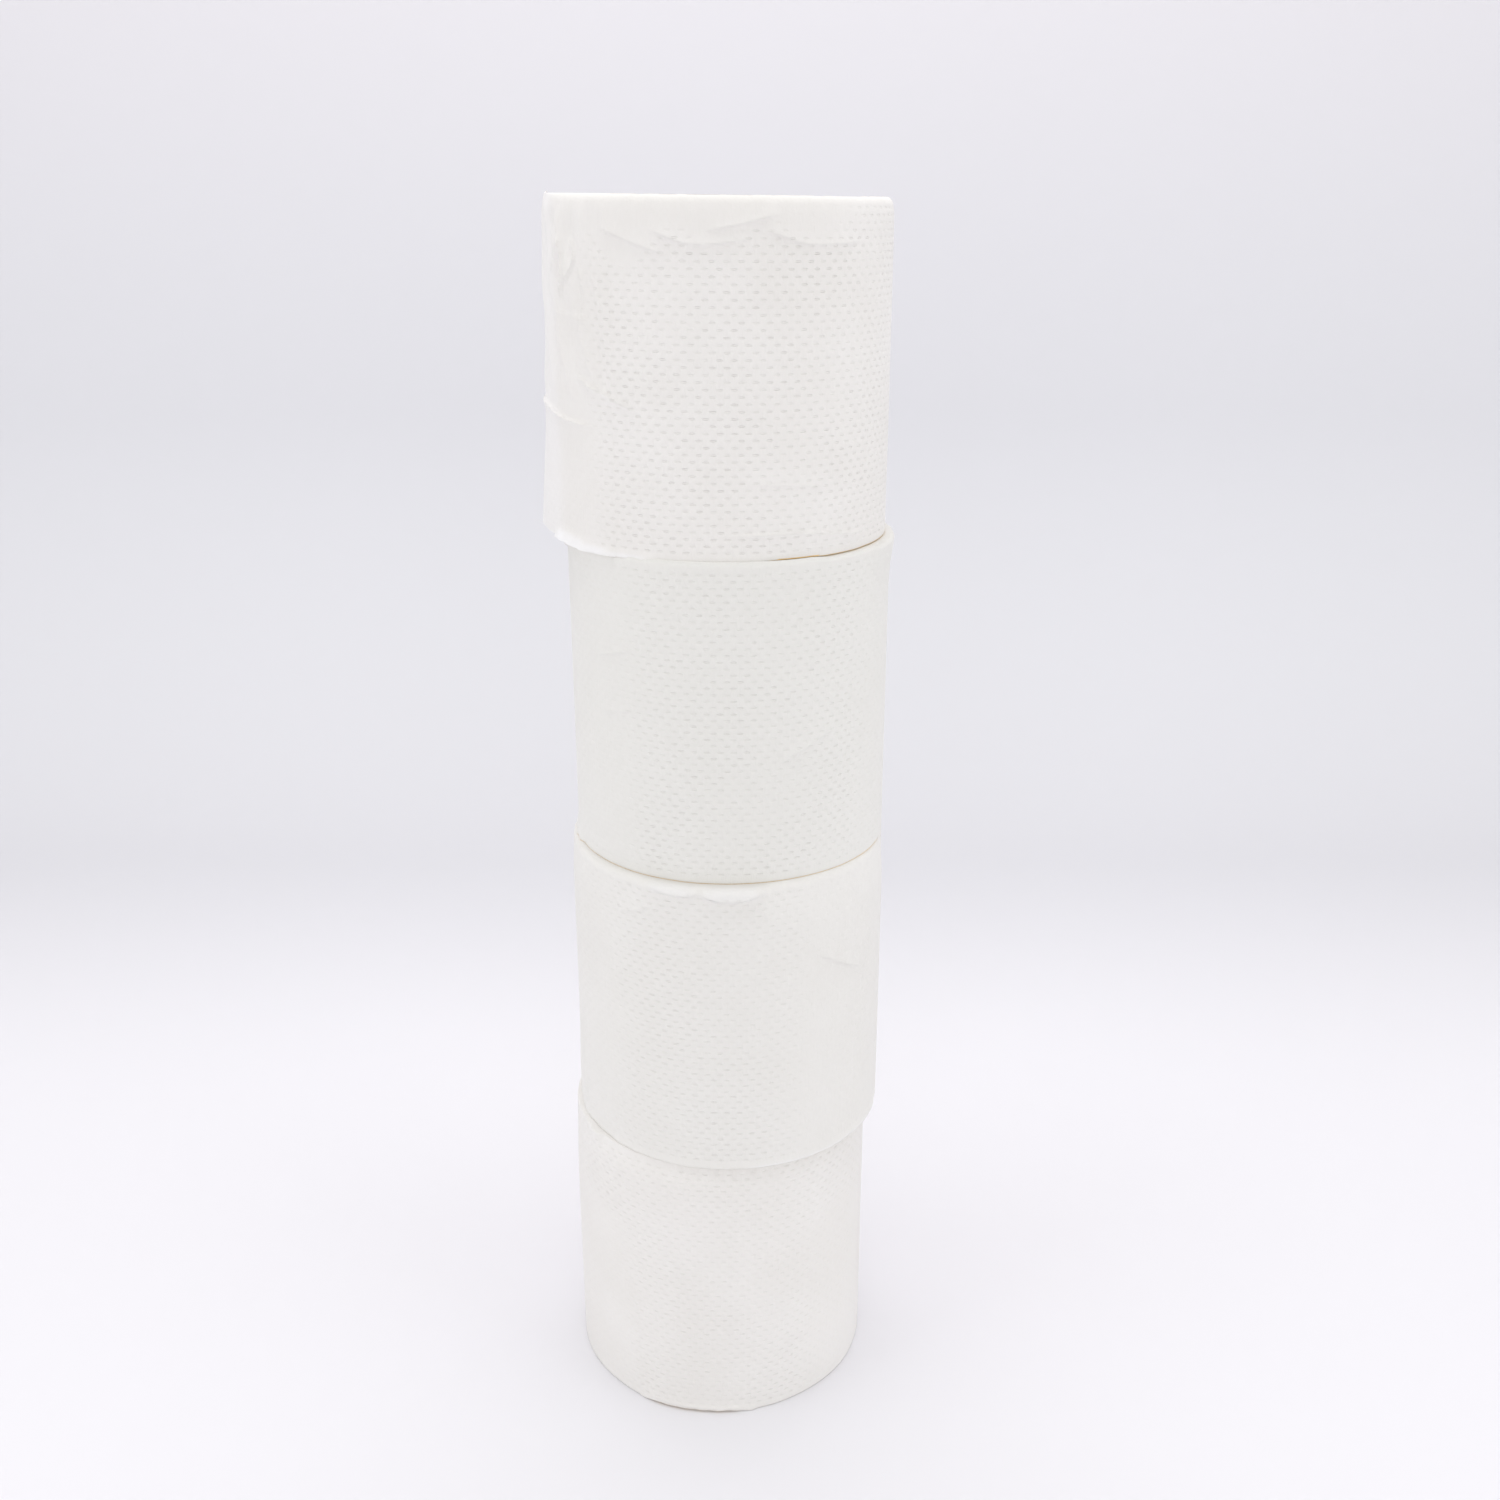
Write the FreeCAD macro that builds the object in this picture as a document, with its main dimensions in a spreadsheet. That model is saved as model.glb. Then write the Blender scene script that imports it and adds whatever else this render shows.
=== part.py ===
import FreeCAD, Part
import math
import os
import Sketcher

# A pack of four unwrapped toilet paper rolls, standing on end, one on another.
# Millimetres. The origin is on the bottom roll's axis, where it meets the floor.
# +Z goes up the stack, +X to the right and +Y to the back, as seen from the front.

# Driving dimensions

# The rolls from the floor up, those whose outer sheet has lifted off the winding, and those
# that are wound clockwise, seen from above, instead of counter-clockwise.
ROLLS = ["bottom", "lower", "upper", "top"]
LOOSE_SHEETS = ["top"]
CLOCKWISE = ["top"]

# Every size, as a name and a value. For each roll: the radius of its winding, where its axis
# stands, and the angle, from +X towards +Y, at which its outer sheet ends or lifts.
SIZES = [
    ("roll_width", 100.0),           # width of the sheet, so the height of a standing roll
    ("sheet_thickness", 0.4),        # one embossed sheet, as loosely wound
    ("core_bore_radius", 20.5),      # inside of the cardboard tube
    ("core_wall", 1.0),
    ("rim_chamfer", 0.8),            # soft outer corner of the wound paper
    ("turn_width", 3.5),             # one ridge of the spiral that stands for the turns on an end
    ("turn_depth", 0.5),
    ("turn_margin", 1.5),            # plain ring left beside the bore and beside the rim
    ("bottom_radius", 51.2),
    ("bottom_axis_x", 0.0),
    ("bottom_axis_y", 0.0),
    ("bottom_tail_angle", 70.0),
    ("lower_radius", 51.9),
    ("lower_axis_x", 3.3),
    ("lower_axis_y", 1.1),
    ("lower_tail_angle", 35.0),
    ("upper_radius", 50.8),
    ("upper_axis_x", 4.0),
    ("upper_axis_y", 4.5),
    ("upper_tail_angle", 100.0),
    ("top_radius", 50.8),
    ("top_axis_x", 2.5),
    ("top_axis_y", 6.5),
    ("top_tail_angle", 232.0),
    ("top_flap_base_gap", 5.8),      # how far the loose sheet's free edge stands off the winding
    ("top_flap_top_gap", 2.2),
    ("top_flap_sweep_angle", 45.0),  # the turn that the lifted stretch makes
    ("top_flap_corner_radius", 6.0),
]

doc = FreeCAD.newDocument("toilet_paper_rolls")
sheet = doc.addObject("Spreadsheet::Sheet", "Sizes")


def fill_sheet():
    """Writes every driving dimension into the sheet, one row each."""
    for row, (alias, value) in enumerate(SIZES, start=1):
        sheet.set("A%d" % row, alias)
        sheet.set("B%d" % row, str(value))
        sheet.setAlias("B%d" % row, alias)
    doc.recompute()


def size(alias):
    """The value of one cell, in millimetres or degrees."""
    return float(sheet.get(alias))


def cell(alias):
    """The name that an expression uses for one cell."""
    return "Sizes." + alias


# Helpers for bodies and sketches

def new_body(label):
    body = doc.addObject("PartDesign::Body", label)
    body.Label = label
    return body


def new_sketch(body, name, role):
    """A sketch on one of the body's own origin planes."""
    plane = [item for item in body.Origin.OriginFeatures if item.Role == role][0]
    sketch = body.newObject("Sketcher::SketchObject", name)
    sketch.AttachmentSupport = [(plane, "")]
    sketch.MapMode = "FlatFace"
    return sketch


def bound(sketch, constraint, expression):
    """Adds a dimension whose value follows the sheet."""
    index = sketch.addConstraint(constraint)
    sketch.setExpression("Constraints[%d]" % index, expression)


def closed_loop(sketch, curves):
    """Adds curves that follow one another and joins them end to end."""
    ids = [sketch.addGeometry(curve, False) for curve in curves]
    for here, after in zip(ids, ids[1:] + ids[:1]):
        sketch.addConstraint(Sketcher.Constraint("Coincident", here, 2, after, 1))
    return ids


def arc(centre_x, radius, start, end):
    """An arc about a point of the X axis. The angles are in degrees."""
    circle = Part.Circle(FreeCAD.Vector(centre_x, 0, 0), FreeCAD.Vector(0, 0, 1), radius)
    return Part.ArcOfCircle(circle, math.radians(start), math.radians(end))


def line(start, end):
    return Part.LineSegment(FreeCAD.Vector(*start, 0), FreeCAD.Vector(*end, 0))


def polar(radius, angle):
    return (radius * math.cos(math.radians(angle)), radius * math.sin(math.radians(angle)))


def add_circle(sketch, radius, expression):
    """A circle about the roll's axis."""
    circle = Part.Circle(FreeCAD.Vector(0, 0, 0), FreeCAD.Vector(0, 0, 1), radius)
    index = sketch.addGeometry(circle, False)
    sketch.addConstraint(Sketcher.Constraint("Coincident", index, 3, -1, 1))
    bound(sketch, Sketcher.Constraint("Radius", index, radius), expression)


def place(body, name, level):
    """Stands a body on the stack: its roll's axis, and its level above the floor."""
    body.setExpression("Placement.Base.x", cell(name + "_axis_x"))
    body.setExpression("Placement.Base.y", cell(name + "_axis_y"))
    body.setExpression("Placement.Base.z", "%d * %s" % (level, cell("roll_width")))


# The winding: one turn of a spiral outside, a round bore inside

def winding(body, name):
    """Pads the wound paper. Two half circles make the outer turn, whose end is a step."""
    radius = size(name + "_radius")
    step = size("sheet_thickness")
    bore = size("core_bore_radius") + size("core_wall")
    sketch = new_sketch(body, name + "_winding_outline", "XY_Plane")
    far_half = arc(0, radius, 0, 180)
    near_half = arc(step / 2, radius + step / 2, 180, 360)
    tail_step = line((radius + step, 0), (radius, 0))
    far, near, tail = closed_loop(sketch, [far_half, near_half, tail_step])
    sketch.addConstraint(Sketcher.Constraint("Horizontal", tail))
    radius_cell = cell(name + "_radius")
    step_cell = cell("sheet_thickness")
    sketch.addConstraint(Sketcher.Constraint("Coincident", far, 3, -1, 1))
    sketch.addConstraint(Sketcher.Constraint("PointOnObject", far, 1, -1))
    sketch.addConstraint(Sketcher.Constraint("PointOnObject", far, 2, -1))
    sketch.addConstraint(Sketcher.Constraint("PointOnObject", near, 3, -1))
    bound(sketch, Sketcher.Constraint("Radius", far, radius), radius_cell)
    bound(sketch, Sketcher.Constraint("Radius", near, radius + step / 2),
          radius_cell + " + " + step_cell + " / 2")
    add_circle(sketch, bore, cell("core_bore_radius") + " + " + cell("core_wall"))
    pad = body.newObject("PartDesign::Pad", name + "_winding")
    pad.Profile = sketch
    pad.setExpression("Length", cell("roll_width"))
    doc.recompute()


def soften_rims(body, name):
    """Cuts a chamfer all round both outer corners of the winding."""
    width = size("roll_width")
    radius = size(name + "_radius")
    chamfer = size("rim_chamfer")
    spare = size("sheet_thickness") + chamfer
    outside = radius + spare
    reach = chamfer + spare
    sketch = new_sketch(body, name + "_rim_profile", "XZ_Plane")
    radius_cell = cell(name + "_radius")
    chamfer_cell = cell("rim_chamfer")
    spare_cell = "(%s + %s)" % (cell("sheet_thickness"), chamfer_cell)
    outside_cell = radius_cell + " + " + spare_cell
    reach_cell = "(%s + %s)" % (chamfer_cell, spare_cell)
    for level, inward, level_cell in ((0, 1, "0"), (width, -1, cell("roll_width"))):
        beyond = level - inward * spare
        corner = (outside, beyond)
        points = [(radius - reach, beyond), corner, (outside, level + inward * reach)]
        sides = [line(points[k], points[(k + 1) % 3]) for k in range(3)]
        rise, upright, slope = closed_loop(sketch, sides)
        sketch.addConstraint(Sketcher.Constraint("Horizontal", rise))
        sketch.addConstraint(Sketcher.Constraint("Vertical", upright))
        bound(sketch, Sketcher.Constraint("DistanceX", -1, 1, rise, 1, points[0][0]),
              radius_cell + " - " + reach_cell)
        bound(sketch, Sketcher.Constraint("DistanceX", -1, 1, upright, 1, outside), outside_cell)
        bound(sketch, Sketcher.Constraint("DistanceY", -1, 1, upright, 1, beyond),
              "%s - %d * %s" % (level_cell, inward, spare_cell))
        bound(sketch, Sketcher.Constraint("DistanceY", -1, 1, slope, 1, points[2][1]),
              "%s + %d * %s" % (level_cell, inward, reach_cell))
    rims = body.newObject("PartDesign::Groove", name + "_rims")
    rims.Profile = sketch
    rims.ReferenceAxis = (sketch, ["V_Axis"])
    rims.Angle = 360.0
    doc.recompute()


# The turns on an end: a spiral of ridges, made of half turns about two centres

CREST_DROP = 0.2   # how far the crests lie below the end, in turn depths


def turn_count(name):
    """Whole turns of the spiral that fit between the bore's ring and the rim's ring."""
    inner = size("core_bore_radius") + size("core_wall")
    outer = size(name + "_radius") - size("rim_chamfer")
    room = outer - inner - 2 * size("turn_margin") - size("turn_width")
    return int(room / size("turn_width"))


def turns(body, name):
    """Cuts a zigzag into the top end, first over all far halves and then over all near halves."""
    width = size("turn_width")
    depth = size("turn_depth")
    level = size("roll_width")
    first = size("core_bore_radius") + size("core_wall") + size("turn_margin") + width / 2
    first_cell = "%s + %s + %s + %s / 2" % (
        cell("core_bore_radius"), cell("core_wall"), cell("turn_margin"), cell("turn_width"))
    for half, shift in (("far", 0), ("near", 1)):
        # Each corner: its place in turn widths past the first valley, and its height in depths.
        corners = [(shift - 1.0, 1.0)]
        for turn in range(turn_count(name)):
            corners += [(shift + turn, -1.0), (shift + turn + 0.5, -CREST_DROP)]
        corners[-1] = (shift + turn_count(name), 1.0)
        sketch = new_sketch(body, "%s_turns_%s_profile" % (name, half), "XZ_Plane")
        axis_x = shift * width / 2
        axis = sketch.addGeometry(line((axis_x, 0), (axis_x, level)), True)
        sketch.addConstraint(Sketcher.Constraint("Vertical", axis))
        bound(sketch, Sketcher.Constraint("DistanceX", -1, 1, axis, 1, axis_x),
              "%d * %s / 2" % (shift, cell("turn_width")))
        points = [(first + place * width, level + height * depth) for place, height in corners]
        sides = [line(here, after) for here, after in zip(points, points[1:] + points[:1])]
        ids = closed_loop(sketch, sides)
        for side, (place, height), (x, z) in zip(ids, corners, points):
            bound(sketch, Sketcher.Constraint("DistanceX", -1, 1, side, 1, x),
                  "%s + (%s) * %s" % (first_cell, place, cell("turn_width")))
            bound(sketch, Sketcher.Constraint("DistanceY", -1, 1, side, 1, z),
                  "%s + (%s) * %s" % (cell("roll_width"), height, cell("turn_depth")))
        before = body.Shape.Volume
        groove = body.newObject("PartDesign::Groove", "%s_turns_%s" % (name, half))
        groove.Profile = sketch
        groove.ReferenceAxis = (sketch, ["Axis0"])
        groove.Angle = 180.0
        groove.Reversed = half == "near"
        doc.recompute()
        print(groove.Name, "removed %.1f mm3" % (before - body.Shape.Volume))


# A loose outer sheet that lifts off the winding and ends in a free edge

ROOT_SHARE = 6   # the sheet is joined to the winding over one part in this many of its sweep


def lifted_radius(name, gap):
    """Radius of the circle, tangent to the winding, that gives the free edge this gap."""
    radius = size(name + "_radius")
    share = 2 / (1 - math.cos(math.radians(size(name + "_flap_sweep_angle"))))
    return (radius + math.sqrt(radius ** 2 + share * gap * (2 * radius + gap))) / 2


def lifted_cell(name, gap_cell):
    """The same radius as an expression."""
    radius_cell = cell(name + "_radius")
    share_cell = "2 / (1 - cos(%s * 1 deg))" % cell(name + "_flap_sweep_angle")
    return "(%s + sqrt(%s ^ 2 + %s * %s * (2 * %s + %s))) / 2" % (
        radius_cell, radius_cell, share_cell, gap_cell, radius_cell, gap_cell)


def lifted_strip(body, name, part, sunk_sheets, share):
    """Revolves the sheet's section about a leaning axis, so that its base stands off further."""
    radius = size(name + "_radius")
    width = size("roll_width")
    inside = radius - sunk_sheets * size("sheet_thickness")
    outside = radius + size("sheet_thickness")
    sketch = new_sketch(body, "%s_flap_%s_profile" % (name, part), "XZ_Plane")
    base_x = lifted_radius(name, size(name + "_flap_base_gap")) - radius
    top_x = lifted_radius(name, size(name + "_flap_top_gap")) - radius
    axis = sketch.addGeometry(line((-base_x, 0), (-top_x, width)), True)
    corners = [(inside, 0), (outside, 0), (outside, width), (inside, width)]
    sides = [line(here, after) for here, after in zip(corners, corners[1:] + corners[:1])]
    base, front, top, back = closed_loop(sketch, sides)
    radius_cell = cell(name + "_radius")
    sketch.addConstraint(Sketcher.Constraint("PointOnObject", axis, 1, -1))
    sketch.addConstraint(Sketcher.Constraint("PointOnObject", base, 1, -1))
    sketch.addConstraint(Sketcher.Constraint("Horizontal", base))
    sketch.addConstraint(Sketcher.Constraint("Vertical", front))
    sketch.addConstraint(Sketcher.Constraint("Horizontal", top))
    sketch.addConstraint(Sketcher.Constraint("Vertical", back))
    bound(sketch, Sketcher.Constraint("DistanceX", axis, 1, -1, 1, base_x),
          "%s - %s" % (lifted_cell(name, cell(name + "_flap_base_gap")), radius_cell))
    bound(sketch, Sketcher.Constraint("DistanceX", axis, 2, -1, 1, top_x),
          "%s - %s" % (lifted_cell(name, cell(name + "_flap_top_gap")), radius_cell))
    bound(sketch, Sketcher.Constraint("DistanceY", -1, 1, axis, 2, width), cell("roll_width"))
    bound(sketch, Sketcher.Constraint("DistanceX", -1, 1, base, 1, inside),
          "%s - %d * %s" % (radius_cell, sunk_sheets, cell("sheet_thickness")))
    bound(sketch, Sketcher.Constraint("DistanceX", -1, 1, front, 1, outside),
          "%s + %s" % (radius_cell, cell("sheet_thickness")))
    bound(sketch, Sketcher.Constraint("DistanceY", -1, 1, top, 1, width), cell("roll_width"))
    strip = body.newObject("PartDesign::Revolution", "%s_flap_%s" % (name, part))
    strip.Profile = sketch
    strip.ReferenceAxis = (sketch, ["Axis0"])
    strip.setExpression("Angle", "%s / %d * 1 deg" % (cell(name + "_flap_sweep_angle"), share))
    doc.recompute()


def trim_flap_top(body, name):
    """Cuts the lifted sheet level with the roll's end, above which its leaning edge rises."""
    sketch = new_sketch(body, name + "_flap_trim_profile", "XY_Plane")
    sketch.setExpression("AttachmentOffset.Base.z", cell("roll_width"))
    add_circle(sketch, 2 * size(name + "_radius"), "2 * " + cell(name + "_radius"))
    before = body.Shape.Volume
    trim = body.newObject("PartDesign::Pocket", name + "_flap_trim")
    trim.Profile = sketch
    trim.Reversed = True
    trim.setExpression("Length", cell(name + "_flap_base_gap"))
    doc.recompute()
    print(trim.Name, "removed %.2f mm3" % (before - body.Shape.Volume))


def round_flap_corner(body, name):
    """Rounds the lower corner of the free edge. The cut starts in the gap behind the sheet."""
    corner = size(name + "_flap_corner_radius")
    gap = size(name + "_flap_base_gap")
    sweep = size(name + "_flap_sweep_angle")
    inner = lifted_radius(name, gap)
    behind_x, behind_y = polar(inner - gap / 2, sweep)
    sketch = new_sketch(body, name + "_flap_corner_profile", "YZ_Plane")
    # On this plane the first axis is the body's Y and the third is its X.
    middle = FreeCAD.Vector(behind_y, 0, behind_x - (inner - size(name + "_radius")))
    sketch.AttachmentOffset = FreeCAD.Placement(middle, FreeCAD.Rotation(FreeCAD.Vector(0, 1, 0), sweep))
    circle = Part.Circle(FreeCAD.Vector(-corner, corner, 0), FreeCAD.Vector(0, 0, 1), corner)
    curves = [
        Part.ArcOfCircle(circle, math.radians(270), math.radians(360)),
        line((0, corner), (gap, corner)),
        line((gap, corner), (gap, -gap)),
        line((gap, -gap), (-corner, -gap)),
        line((-corner, -gap), (-corner, 0)),
    ]
    rounding, ledge, upright, base, side = closed_loop(sketch, curves)
    gap_cell = cell(name + "_flap_base_gap")
    sketch.addConstraint(Sketcher.Constraint("PointOnObject", rounding, 1, -1))
    sketch.addConstraint(Sketcher.Constraint("PointOnObject", rounding, 2, -2))
    sketch.addConstraint(Sketcher.Constraint("Vertical", rounding, 3, rounding, 1))
    sketch.addConstraint(Sketcher.Constraint("Horizontal", rounding, 3, rounding, 2))
    sketch.addConstraint(Sketcher.Constraint("Horizontal", ledge))
    sketch.addConstraint(Sketcher.Constraint("Vertical", upright))
    sketch.addConstraint(Sketcher.Constraint("Horizontal", base))
    sketch.addConstraint(Sketcher.Constraint("Vertical", side))
    bound(sketch, Sketcher.Constraint("Radius", rounding, corner), cell(name + "_flap_corner_radius"))
    bound(sketch, Sketcher.Constraint("DistanceX", -1, 1, upright, 1, gap), gap_cell)
    bound(sketch, Sketcher.Constraint("DistanceY", upright, 2, -1, 1, gap), gap_cell)
    before = body.Shape.Volume
    pocket = body.newObject("PartDesign::Pocket", name + "_flap_corner")
    pocket.Profile = sketch
    pocket.Reversed = True
    pocket.setExpression("Length", gap_cell)
    doc.recompute()
    print(pocket.Name, "removed %.2f mm3" % (before - body.Shape.Volume))


def flap(body, name):
    """The loose sheet: a root sunk one sheet deep into the winding, and the lifted stretch."""
    lifted_strip(body, name, "root", 1, ROOT_SHARE)
    lifted_strip(body, name, "sheet", 0, 1)
    trim_flap_top(body, name)
    round_flap_corner(body, name)


# The two pieces of a roll

def mirrored(body, label):
    """The same winding, wound the other way round."""
    piece = doc.addObject("Part::Mirroring", label)
    piece.Label = label
    piece.Source = body
    piece.Base = FreeCAD.Vector(0, 0, 0)
    piece.Normal = FreeCAD.Vector(0, 1, 0)
    doc.recompute()
    return piece


def make_paper(name, level):
    """The wound paper of one roll. Only the open top of the stack shows its turns."""
    label = name + "_roll_paper"
    body = new_body(name + "_winding_body" if name in CLOCKWISE else label)
    winding(body, name)
    soften_rims(body, name)
    if level == len(ROLLS) - 1:
        turns(body, name)
    if name in LOOSE_SHEETS:
        flap(body, name)
    piece = mirrored(body, label) if name in CLOCKWISE else body
    turned = FreeCAD.Rotation(FreeCAD.Vector(0, 0, 1), size(name + "_tail_angle"))
    piece.Placement = FreeCAD.Placement(FreeCAD.Vector(0, 0, 0), turned)
    piece.setExpression("Placement.Rotation.Angle", cell(name + "_tail_angle") + " * 1 deg")
    place(piece, name, level)
    return piece


def make_core(name, level):
    """The cardboard tube that the paper is wound on. Roll and tube are cut off together, flush."""
    bore = size("core_bore_radius")
    body = new_body(name + "_roll_core")
    sketch = new_sketch(body, name + "_core_outline", "XY_Plane")
    add_circle(sketch, bore, cell("core_bore_radius"))
    add_circle(sketch, bore + size("core_wall"), cell("core_bore_radius") + " + " + cell("core_wall"))
    pad = body.newObject("PartDesign::Pad", name + "_core_tube")
    pad.Profile = sketch
    pad.setExpression("Length", cell("roll_width"))
    place(body, name, level)
    doc.recompute()
    return body


def check_and_export(bodies):
    """Stops on any failed object or bad solid, and then writes one file for each piece."""
    doc.recompute()
    for item in doc.Objects:
        if "Invalid" in item.State or "Error" in item.State:
            raise RuntimeError("failed object: " + item.Name)
    for body in bodies:
        if body.Shape.isNull() or not body.Shape.isValid() or len(body.Shape.Solids) != 1:
            raise RuntimeError("bad solid: " + body.Label)
    os.makedirs("parts", exist_ok=True)
    for body in bodies:
        body.Shape.exportStep("parts/%s.step" % body.Label)
        box = body.Shape.optimalBoundingBox(True, False)
        print("%-18s %9.0f mm3  x %.1f..%.1f  y %.1f..%.1f  z %.1f..%.1f" % (
            body.Label, body.Shape.Volume, box.XMin, box.XMax, box.YMin, box.YMax, box.ZMin, box.ZMax))


fill_sheet()
pieces = []
for level, name in enumerate(ROLLS):
    pieces.append(make_paper(name, level))
    pieces.append(make_core(name, level))
check_and_export(pieces)
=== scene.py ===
# %% [markdown]
# # A pack of four toilet paper rolls
#
# Four unwrapped rolls of embossed tissue stand on end, one on another. The measured model
# gives each roll a plain winding of paper and a plain cardboard tube. This lesson dresses
# them: every winding gets its dimples, creases, ruffled rims and end of sheet, every tube
# gets its wound card, and then a pale studio is set up round them.
#
# The script starts from the measured model, which is loaded as a frame. All lengths are
# metres in that frame, so nothing has to be fitted by eye afterwards.

# %% Load the measured model
import math

import bmesh
import bpy
import numpy as np
from mathutils import Matrix, Vector


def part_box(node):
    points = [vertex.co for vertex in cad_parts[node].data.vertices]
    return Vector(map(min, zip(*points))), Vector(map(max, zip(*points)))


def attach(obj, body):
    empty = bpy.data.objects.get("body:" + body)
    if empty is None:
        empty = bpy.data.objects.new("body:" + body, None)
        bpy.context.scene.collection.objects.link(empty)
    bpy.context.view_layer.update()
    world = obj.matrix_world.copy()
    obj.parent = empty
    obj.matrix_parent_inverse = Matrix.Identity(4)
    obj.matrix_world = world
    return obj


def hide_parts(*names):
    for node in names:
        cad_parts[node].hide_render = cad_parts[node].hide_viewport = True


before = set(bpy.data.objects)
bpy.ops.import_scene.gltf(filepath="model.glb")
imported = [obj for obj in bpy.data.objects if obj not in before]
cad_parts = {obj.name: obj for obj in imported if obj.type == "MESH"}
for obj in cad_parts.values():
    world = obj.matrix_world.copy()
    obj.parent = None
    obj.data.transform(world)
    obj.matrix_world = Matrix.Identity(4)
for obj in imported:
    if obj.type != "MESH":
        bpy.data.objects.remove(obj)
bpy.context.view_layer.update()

# %% [markdown]
# ## Where each roll stands
#
# The tube of a roll is a true ring, so the middle of its box is the roll's axis. The outer
# turn adds one sheet over part of the way round, so the radius of the winding is the shorter
# of the distances from that axis to the front and the back of the paper. These values drive
# every mesh below. The end of the outer sheet is not a box, so its angle is given here, as
# degrees to the right of the front of the roll.

# %% Measure the rolls
MM = 0.001
ROLL_NAMES = ["bottom", "lower", "upper", "top"]
SHEET_ENDS = {"bottom": 160.0, "lower": 125.0, "upper": -170.0, "top": -38.0}
WOUND = {"bottom": 1, "lower": 1, "upper": 1, "top": -1}   # 1 counter-clockwise from above
SHEET = 0.4                      # millimetres that one loosely wound sheet adds


def measure_roll(name):
    """Axis at the base, radius of winding and tube, and height, all in millimetres."""
    low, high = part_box(name + "_roll_core")
    paper_low, paper_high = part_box(name + "_roll_paper")
    axis = Vector(((low.x + high.x) / 2, (low.y + high.y) / 2, low.z)) / MM
    return {
        "name": name,
        "axis": axis,
        "radius": min(axis.y - paper_low.y / MM, paper_high.y / MM - axis.y),
        "tube": (high.x - low.x) / 2 / MM,
        "height": (high.z - low.z) / MM,
    }


rolls = {name: measure_roll(name) for name in ROLL_NAMES}
for roll in rolls.values():
    print(roll["name"], "radius %.1f mm, tube %.1f mm, height %.1f mm" % (
        roll["radius"], roll["tube"], roll["height"]))

# %% [markdown]
# ## The section of a winding, turned into a roll
#
# A roll is a turned shape, so its section is drawn once and spun. The section starts as a
# rectangle between tube and skin. Bevelling its two outer corners gives the soft rims that
# the cut log has: tight ones where rolls press on each other, and wider ones on the open top
# of the stack and where a rim leans in. After the spin the wall and the ends are subdivided
# into as many rows as their detail needs, which is quicker than spinning them all. A sculpted
# or a simulated roll could look as soft, but a spun one keeps its rows and columns in step
# with the embossing, so every dimple gets the same few faces.

# %% Spin a section
DIMPLES_AROUND = 80
COLUMNS_PER_DIMPLE = 5
DIMPLE_ROWS = 50
ROWS_PER_DIMPLE = 4
COLUMNS = DIMPLES_AROUND * COLUMNS_PER_DIMPLE
WALL_ROWS = DIMPLE_ROWS * ROWS_PER_DIMPLE
BASE_RIM_ROWS = 1                # rows of the wall that the rounding of a rim takes
TOP_RIM_ROWS = {"bottom": 1, "lower": 4, "upper": 2, "top": 4}
COLUMN = 360.0 / COLUMNS         # degrees
NEAR = 0.01                      # millimetres within which a vertex counts as being on a ring


def spin_section(bm, columns):
    """Turns a section from the right-hand side to the front, and then all the way round."""
    to_front = Matrix.Rotation(-math.pi / 2, 3, "Z")
    bmesh.ops.rotate(bm, verts=bm.verts[:], cent=(0, 0, 0), matrix=to_front)
    bmesh.ops.spin(bm, geom=bm.verts[:] + bm.edges[:], cent=(0, 0, 0), axis=(0, 0, 1),
                   angle=2 * math.pi, steps=columns, use_merge=True)


def add_rows(bm, first, second, rows):
    """Divides the faces between two rings, each given as its radius and height."""
    def on_ring(vert, ring):
        return math.dist((vert.co.xy.length, vert.co.z), ring) < NEAR

    between = [edge for edge in bm.edges
               if (on_ring(edge.verts[0], first) and on_ring(edge.verts[1], second))
               or (on_ring(edge.verts[0], second) and on_ring(edge.verts[1], first))]
    bmesh.ops.subdivide_edges(bm, edges=between, cuts=rows - 1, use_grid_fill=True)


def mesh_from(bm, name):
    """Points the faces outwards and turns the bmesh into a mesh."""
    bmesh.ops.recalc_face_normals(bm, faces=bm.faces[:])
    mesh = bpy.data.meshes.new(name)
    bm.to_mesh(mesh)
    bm.free()
    return mesh


def rim_rows(name):
    """Rows that the rounding takes at the base and at the top of a roll."""
    return BASE_RIM_ROWS, TOP_RIM_ROWS[name]


def rims(roll):
    """The same two roundings in millimetres."""
    return [rows * roll["height"] / WALL_ROWS for rows in rim_rows(roll["name"])]


def spin_winding(roll, base_rings, top_rings):
    """The plain winding as a mesh, with rows and columns ready for its detail."""
    inner, outer, height = roll["tube"], roll["radius"], roll["height"]
    base_rim, top_rim = rims(roll)
    bm = bmesh.new()
    corners = [(inner, 0), (outer, 0), (outer, height), (inner, height)]
    verts = [bm.verts.new((x, 0, z)) for x, z in corners]
    bm.faces.new(verts)
    for vert, rim, rows in zip(verts[1:3], (base_rim, top_rim), rim_rows(roll["name"])):
        bmesh.ops.bevel(bm, geom=[vert], offset=rim, segments=max(rows, 2), profile=0.5,
                        affect="VERTICES", material=-1)
    bmesh.ops.delete(bm, geom=bm.faces[:], context="FACES_ONLY")
    spin_section(bm, COLUMNS)
    plain_rows = WALL_ROWS - sum(rim_rows(roll["name"]))
    add_rows(bm, (outer, base_rim), (outer, height - top_rim), plain_rows)
    add_rows(bm, (inner, 0), (outer - base_rim, 0), base_rings)
    add_rows(bm, (inner, height), (outer - top_rim, height), top_rings)
    return mesh_from(bm, roll["name"] + "_winding")


print("%d columns round a roll, %d rows up its wall" % (COLUMNS, WALL_ROWS))

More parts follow.
